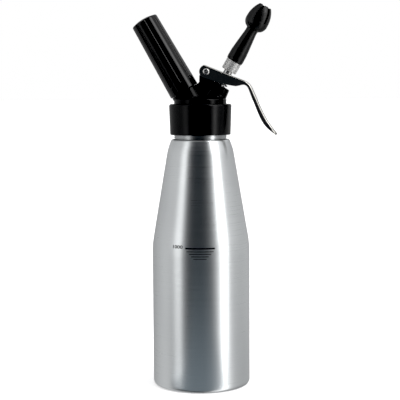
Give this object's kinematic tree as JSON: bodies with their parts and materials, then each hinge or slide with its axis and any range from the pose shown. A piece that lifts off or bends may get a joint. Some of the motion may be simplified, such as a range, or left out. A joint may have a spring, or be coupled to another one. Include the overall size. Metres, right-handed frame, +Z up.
{
  "type": "whipped cream dispenser",
  "caption": "Pressurised whipped cream dispenser: aluminium bottle, screw-on head, gas charger holder, sprung dispensing lever, spring-closed valve and tulip decorating tip.",
  "frame": {"origin": "centre of the bottle's base, on the plane it stands on", "axes": "+Z up along the bottle's axis; +X towards the lever and the nozzle; -X towards the gas charger holder"},
  "size_m": [0.145, 0.0984, 0.3844],
  "materials": {
    "bottle_aluminium": "fine circumferential brushing, satin",
    "head_plastic": "glossy moulded black",
    "collar_plastic": "satin moulded black",
    "holder_plastic": "glossy moulded black",
    "tip_plastic": "satin moulded black",
    "lever_steel": "polished pressed stainless steel",
    "adapter_steel": "knurled stainless steel",
    "pin_steel": "turned stainless steel",
    "stem_steel": "turned stainless steel",
    "spring_steel": "drawn spring wire",
    "brass": "turned brass",
    "needle_steel": "ground stainless steel",
    "bush_plastic": "natural acetal",
    "seal_rubber": "black nitrile rubber",
    "gasket_silicone": "natural silicone rubber",
    "charger_steel": "bright plated steel"
  },
  "bodies": {
    "bottle": {"bottle": "bottle_aluminium"},
    "gasket": {"head_gasket": "gasket_silicone"},
    "head": {"head_body": "head_plastic", "grip_collar": "collar_plastic", "pin_carrier": "brass", "piercing_pin": "needle_steel", "charger_seal": "seal_rubber", "check_spring": "spring_steel", "valve_bush": "bush_plastic", "valve_spring": "spring_steel", "lever_pin": "pin_steel", "lever_pin_screw": "pin_steel"},
    "charger": {"gas_charger": "charger_steel"},
    "holder": {"charger_holder": "holder_plastic"},
    "check_valve": {"check_ball": "spring_steel"},
    "valve": {"valve_stem": "stem_steel", "stem_o_rings": "seal_rubber", "valve_seal": "seal_rubber", "valve_nut": "stem_steel", "press_collar": "stem_steel", "nozzle_adapter": "adapter_steel", "decorator_tip": "tip_plastic"},
    "lever": {"lever": "lever_steel"}
  },
  "joints": [
    {"name": "head_rise", "type": "slide", "parent": "bottle", "child": "gasket", "axis": [0, 0, 1], "range_m": [0, 0.0121]},
    {"name": "head_turn", "type": "hinge", "parent": "gasket", "child": "head", "pos_m": [0, 0, 0.265], "axis": [0, 0, 1], "range_deg": [0, 1080]},
    {"name": "charger_rise", "type": "slide", "parent": "head", "child": "charger", "axis": [-0.4955, 0, 0.8686], "range_m": [0, 0.01005]},
    {"name": "holder_turn", "type": "hinge", "parent": "charger", "child": "holder", "pos_m": [0, 0, 0.27], "axis": [-0.4955, 0, 0.8686], "range_deg": [0, 1440]},
    {"name": "check_valve_lift", "type": "slide", "parent": "head", "child": "check_valve", "axis": [0.4955, 0, -0.8686], "range_m": [0, 0.0009], "stiffness_N_per_m": 120, "springref_m": -0.0006, "deforming": ["check_spring"]},
    {"name": "lever_press", "type": "hinge", "parent": "head", "child": "lever", "pos_m": [0.0069, 0, 0.3169], "axis": [0, 1, 0], "range_deg": [0, 11]},
    {"name": "valve_stroke", "type": "slide", "parent": "head", "child": "valve", "axis": [-0.503, 0, -0.8643], "range_m": [0, 0.0037], "stiffness_N_per_m": 4000, "springref_m": -0.003, "deforming": ["valve_spring"]}
  ],
  "couplings": [
    {"joint": "head_rise", "follows": "head_turn", "m_per_rad": 0.00063662},
    {"joint": "charger_rise", "follows": "holder_turn", "m_per_rad": 0.00039789},
    {"joint": "valve_stroke", "follows": "lever_press", "m_per_rad": 0.0188}
  ]
}
